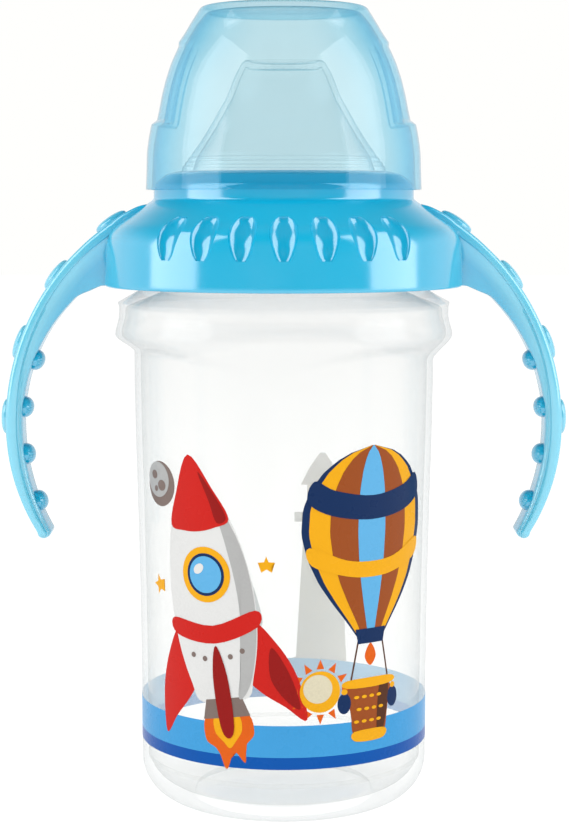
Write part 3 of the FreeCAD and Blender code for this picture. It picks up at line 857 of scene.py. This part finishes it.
def rocket():
    hull = [(0, 75.5), (4.6, 68), (8.2, 59), (9.8, 48.5), (9.2, 38.5), (7.0, 30), (4.8, 26)]
    fin = [(8.4, 41), (12.6, 36.5), (15.8, 29), (16.4, 20), (12.4, 23.4), (7.6, 27.5), (6.0, 31)]
    fin_shade = [(11.6, 35.6), (14.4, 29.5), (15.4, 22.5), (12.4, 25.2), (10.4, 30)]
    shapes = [
        (blob([(-4.2, 23.4), (4.2, 23.4), (5.4, 19), (3.3, 16.6), (2.6, 13.2), (0.6, 15.6), (-1.6, 12.2),
               (-2.9, 16.2), (-5.4, 18.6)]), "orange", 0),
        (blob([(-2.4, 23.2), (2.4, 23.2), (3.0, 20), (1.2, 17.6), (-0.2, 16.4), (-1.4, 17.8), (-3.0, 20)]),
         "gold", 1),
        ([(-4.0, 26.5), (4.0, 26.5), (5.2, 22.6), (-5.2, 22.6)], "stone", 2),
        (blob(fin), "red", 0),
        (mirrored(blob(fin)), "red", 0),
        (blob(fin_shade), "dark_red", 1),
        (blob(both_sides(hull)), "white", 1),
        (blob([(3.6, 68.4), (8.0, 58.6), (9.6, 48.5), (9.0, 38.5), (6.8, 30.2), (4.6, 26.6), (3.4, 27),
               (5.6, 36),
               (6.4, 47), (5.4, 58)]), "grey", 2),
        (blob(both_sides([(0, 75.6), (4.7, 68), (7.1, 62), (3.6, 60.6), (0, 60.2)])), "red", 3),
        (blob([(1.8, 72.0), (4.5, 67.6), (6.6, 62.4), (4.4, 61.6), (3.4, 66)]), "dark_red", 4),
        (blob([(-9.4, 40.0), (0, 37.6), (9.4, 40.0), (9.6, 43.4), (0, 41.2), (-9.6, 43.4)]), "red", 3),
        (ellipse(0, 51.5, 5.6, 5.6), "gold", 3),
        (ellipse(0, 51.5, 4.3, 4.3), "navy", 4),
        (ellipse(0, 51.5, 3.7, 3.7), "sky", 5),
        (ellipse(-1.3, 52.8, 1.3, 0.9, 30), "white", 6),
        (blob([(0, 37.2), (1.6, 31), (1.5, 21), (0, 18.4), (-1.5, 21), (-1.6, 31)]), "dark_red", 5),
        (star(-13.6, 50, 2.2, 10), "gold", 0),
        (star(13.2, 52, 1.8, -8), "gold", 0),
    ]
    for x in (-5.6, -2.9, 2.9, 5.6):
        shapes.append((ellipse(x, 34.4 + 0.04 * x * x, 0.55, 0.55, count=14), "stone", 3))
    moon = [
        (ellipse(-13.4, 68.5, 4.6, 4.6), "stone", 0),
        (ellipse(-14.2, 69.3, 3.7, 3.6), "grey", 1),
        (ellipse(-15.4, 70.2, 1.0, 0.9), "stone", 2),
        (ellipse(-12.9, 68.2, 1.3, 1.1), "stone", 2),
        (ellipse(-14.9, 67.4, 0.6, 0.6, count=16), "stone", 2),
    ]
    return leaning(shapes, 9, 44) + moon


def balloon():
    width = [(39.0, 3.4), (42.0, 5.6), (46.0, 8.8), (50.0, 11.6), (55.0, 14.0), (60.0, 15.2), (65.0, 14.9),
             (69.0, 13.3), (72.5, 10.6), (75.0, 7.2), (76.6, 3.6), (77.2, 0.4)]
    heights = [77.2 - 38.2 * step / 30 for step in range(31)]
    shapes = []
    gores = (("navy", 1.0), ("gold", 0.90), ("brown", 0.62), ("sky", 0.22))
    for layer, (ink_name, share) in enumerate(gores):
        shapes.append((both_sides([(share * height_of(width, z), z) for z in heights]), ink_name, layer))
    shapes += [
        (blob([(-13.9, 66.5), (-9.0, 63.6), (0, 62.4), (9.0, 63.6), (13.9, 66.5), (12.6, 70.6), (8.4, 68.6),
               (0, 67.2), (-8.4, 68.6), (-12.6, 70.6)]), "navy", 4),
        (blob([(-13.6, 57.4), (-6.0, 54.6), (0, 54.0), (6.0, 54.6), (13.6, 57.4), (13.1, 53.8), (6.0, 51.4),
               (0, 50.8), (-6.0, 51.4), (-13.1, 53.8)]), "gold", 4),
        ([(-3.7, 40.4), (3.7, 40.4), (3.1, 37.4), (-3.1, 37.4)], "navy", 4),
        (blob([(0, 37.4), (1.4, 34.8), (0, 32.8), (-1.4, 34.8)]), "orange", 0),
        (blob([(-4.9, 29.0), (4.9, 29.0), (4.5, 23.0), (3.4, 18.6), (-3.4, 18.6), (-4.5, 23.0)]), "brown", 1),
        (blob([(2.4, 28.6), (4.8, 28.6), (4.4, 23.0), (3.3, 19.0), (1.8, 18.9)]), "dark_brown", 2),
        (blob([(-5.3, 30.2), (5.3, 30.2), (5.5, 28.6), (-5.5, 28.6)]), "gold", 3),
        (blob([(-3.8, 19.6), (3.8, 19.6), (3.4, 17.6), (-3.4, 17.6)]), "gold", 3),
    ]
    for side in (-1, 1):
        shapes.append(([(side * 3.1, 38.4), (side * 4.9, 29.6), (side * 4.5, 29.6), (side * 2.7, 38.4)],
                       "dark_brown", 1))
        shapes.append((ellipse(side * 6.1, 25.6, 1.5, 2.1), "navy", 2))
        shapes.append((ellipse(side * 6.1, 28.0, 0.7, 0.6, count=16), "gold", 3))
    for row in range(3):
        z = 26.6 - 2.5 * row
        for column in range(4):
            x = -3.3 + 1.85 * column + 0.6 * (row % 2)
            shapes.append((ellipse(x, z, 0.62, 0.34, count=12), "gold", 3))
    sun = [(ellipse(-11.2, 28.4, 4.2, 4.2), "gold", 1), (ellipse(-11.7, 29.0, 3.0, 2.9), "cream", 2)]
    for step in range(12):
        angle = TURN * step / 12
        c, s = math.cos(angle), math.sin(angle)
        ray = [(4.6, -0.8), (6.6, 0.0), (4.6, 0.8)]
        sun.append(([(-11.2 + a * c - b * s, 28.4 + a * s + b * c) for a, b in ray], "orange", 0))
    return shapes + sun


def lighthouse():
    shapes = [
        (blob([(-10.5, 15.6), (-4, 14.6), (4, 14.4), (10.5, 15.8), (8.6, 20.6), (3, 22.8), (-4, 22.2),
               (-9, 20)]),
         "grey", 0),
        ([(-6.2, 19), (6.2, 19), (4.2, 53), (-4.2, 53)], "cream", 1),
        ([(-6.4, 53), (6.4, 53), (6.4, 55.2), (-6.4, 55.2)], "stone", 1),
        ([(-3.5, 55.2), (3.5, 55.2), (3.5, 61.4), (-3.5, 61.4)], "gold", 0),
        ([(-5.0, 61.4), (5.0, 61.4), (3.0, 65.4), (0.6, 68.8), (-0.6, 68.8), (-3.0, 65.4)], "brown", 0),
    ]
    for low, high in ((26, 32), (39, 45)):
        a, b = 6.2 - (low - 19) / 17, 6.2 - (high - 19) / 17
        shapes.append(([(-a, low), (a, low), (b, high), (-b, high)], "red", 2))
    return shapes


def sailing_boat():
    return [
        (blob([(-8, 26), (8, 26), (5.6, 21), (-5.6, 21)]), "brown", 0),
        ([(-0.5, 26.6), (0.5, 26.6), (0.5, 50), (-0.5, 50)], "stone", 0),
        (blob([(1.2, 48), (7.6, 30), (1.2, 28.6)]), "white", 1),
        (blob([(-1.2, 45), (-6.4, 30), (-1.2, 29)]), "sky", 1),
    ]


def band(name, low, high, lift, material):
    outline = [
        (height_of(SIDE, low) + lift, low), (height_of(SIDE, high) + lift, high),
        (height_of(SIDE, high) + lift - BAND_THICKNESS, high),
        (height_of(SIDE, low) + lift - BAND_THICKNESS, low),
    ]
    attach(revolve(name, outline, [material], 240), "cup")


def make_print():
    front = [ink("ink_" + name, colour) for name, colour in INKS.items()]
    back = [
        ink("underprint_" + name, tuple(
            INK_SHOWING_BEHIND * c + (1 - INK_SHOWING_BEHIND) * b for c, b in zip(colour, UNDERPRINT)), 0.95)
        for name, colour in INKS.items()
    ]
    print_picture("print_rocket", rocket(), front + back, -15.2)
    print_picture("print_balloon", balloon(), front + back, 18.6)
    print_picture("print_lighthouse", lighthouse(), front + back, 87.0)
    print_picture("print_boat", sailing_boat(), front + back, -84.6)
    for name, low, high, colour, pale in (
        ("stripe", 12.8, 15.25, (0.0, 0.075, 0.34), (0.36, 0.52, 0.78)),
        ("band", 15.25, 21.7, (0.045, 0.285, 0.58), (0.50, 0.72, 0.90)),
    ):
        band("print_" + name, low, high, BAND_LIFT, ink("ink_" + name, colour))
        band("underprint_" + name, low, high, BAND_BACK_LIFT, ink("underprint_" + name, pale, 0.95))


# ---------------------------------------------------------------- studio

def make_floor():
    points = [(-3000, -3000, -0.05), (3000, -3000, -0.05), (3000, 3000, -0.05), (-3000, 3000, -0.05)]
    floor = mesh_piece("floor", points, [(0, 1, 2, 3)], [floor_material()])


def make_lamp(name, spot, aim, size, height, power, shown=True):
    data = bpy.data.lights.new(name, "AREA")
    data.shape = "RECTANGLE"
    data.size = size
    data.size_y = height
    data.energy = power
    lamp = bpy.data.objects.new(name, data)
    lamp.visible_glossy = shown
    lamp.location = spot
    lamp.rotation_euler = (Vector(aim) - Vector(spot)).to_track_quat("-Z", "Y").to_euler()
    scene.collection.objects.link(lamp)


SKY_FRONT = 0.12
SKY_SIDE = 0.7
SKY_BACK = 1.0
SKY_TOP = 0.15


def make_sky():
    """A white tent that is dark on the camera's side and dim overhead. The backdrop shows as clean white."""
    world = bpy.data.worlds.new("studio")
    world.use_nodes = True
    tree = world.node_tree
    tree.nodes.clear()
    facing = tree.nodes.new("ShaderNodeSeparateXYZ")
    tree.links.new(tree.nodes.new("ShaderNodeTexCoord").outputs["Generated"], facing.inputs[0])
    levels = []
    for axis, stops in (
        ("Y", ((0.0, SKY_FRONT), (0.25, SKY_FRONT), (0.5, SKY_SIDE), (0.75, SKY_BACK))),
        ("Z", ((0.0, 1.0), (0.6, 1.0), (0.85, SKY_TOP), (1.0, SKY_TOP))),
    ):
        ramp = tree.nodes.new("ShaderNodeValToRGB")
        ramp.color_ramp.interpolation = "EASE"
        while len(ramp.color_ramp.elements) < len(stops):
            ramp.color_ramp.elements.new(0.5)
        for element, (position, level) in zip(ramp.color_ramp.elements, stops):
            element.position = position
            element.color = (level, level, level, 1.0)
        shift = tree.nodes.new("ShaderNodeMapRange")
        shift.inputs[1].default_value = -1.0
        tree.links.new(facing.outputs[axis], shift.inputs[0])
        tree.links.new(shift.outputs[0], ramp.inputs[0])
        levels.append(ramp.outputs[0])
    both = tree.nodes.new("ShaderNodeMath")
    both.operation = "MULTIPLY"
    tree.links.new(levels[0], both.inputs[0])
    tree.links.new(levels[1], both.inputs[1])
    tent = tree.nodes.new("ShaderNodeBackground")
    tree.links.new(both.outputs[0], tent.inputs["Color"])
    backdrop = tree.nodes.new("ShaderNodeBackground")
    backdrop.inputs["Color"].default_value = (1.0, 1.0, 0.985, 1.0)
    mixed = tree.nodes.new("ShaderNodeMixShader")
    tree.links.new(tree.nodes.new("ShaderNodeLightPath").outputs["Is Camera Ray"], mixed.inputs[0])
    tree.links.new(tent.outputs[0], mixed.inputs[1])
    tree.links.new(backdrop.outputs[0], mixed.inputs[2])
    tree.links.new(mixed.outputs[0], tree.nodes.new("ShaderNodeOutputWorld").inputs["Surface"])
    scene.world = world


def make_studio():
    make_sky()
    scene.view_settings.view_transform = "Standard"
    scene.cycles.transparent_max_bounces = 32
    for name, side in (("softbox_left", -1), ("softbox_right", 1)):
        make_lamp(name, (side * 0.86, -0.26, 0.55), (0, 0, 0.11), 0.72, 1.1, 6.0)
    make_lamp("fill", (0, -0.9, 0.45), (0, 0, 0.11), 0.9, 0.7, 5.4, shown=False)
    make_lamp("overhead", (0, -0.1, 1.0), (0, 0, 0.1), 0.8, 0.8, 2.6, shown=False)
    camera_data = bpy.data.cameras.new("camera")
    camera = bpy.data.objects.new("camera", camera_data)
    camera.location = (0.0, -0.421, 0.1251)
    camera.rotation_euler = (math.radians(84), 0, 0)
    camera_data.sensor_fit = "VERTICAL"
    camera_data.sensor_height = 36.0
    camera_data.lens = 88.04
    camera_data.shift_x = 0.0009
    camera_data.clip_start = 0.01
    camera_data.clip_end = 20.0
    scene.collection.objects.link(camera)
    scene.camera = camera


clear_body = see_through(
    "clear_body", filters=[(0.984, 0.985, 0.982), (0.84, 0.865, 0.87)], haze_colour=(0.90, 0.905, 0.90),
    hazes=[0.05, 0.34], power=4.0, roughness=0.10, ripple=0.02, face_shine=0.02, edge_shine=0.55)
tinted_cap = see_through(
    "tinted_cap", filters=[(0.880, 0.952, 0.970), (0.24, 0.72, 0.92)], haze_colour=(0.26, 0.76, 0.95),
    hazes=[0.012, 0.30], power=2.6, roughness=0.05, ripple=0.006, face_shine=0.03)
clear_silicone = see_through(
    "clear_silicone", filters=[(0.994, 0.998, 0.999), (0.08, 0.48, 0.64)], haze_colour=(0.60, 0.86, 0.93),
    hazes=[0.006, 0.40], power=8.0, roughness=0.12, ripple=0.01, face_shine=0.012, edge_shine=0.5)
milky_silicone = see_through(
    "milky_silicone", filters=[(0.96, 0.97, 0.975), (0.75, 0.8, 0.82)], haze_colour=(0.85, 0.88, 0.9),
    hazes=[0.12, 0.6], power=3.0, roughness=0.2, ripple=0.01)

make_cup(clear_body)
make_collar(blue_plastic("blue_collar"))
make_spout(clear_silicone)
make_valve(milky_silicone)
make_cap(tinted_cap)
make_print()
make_floor()
make_studio()
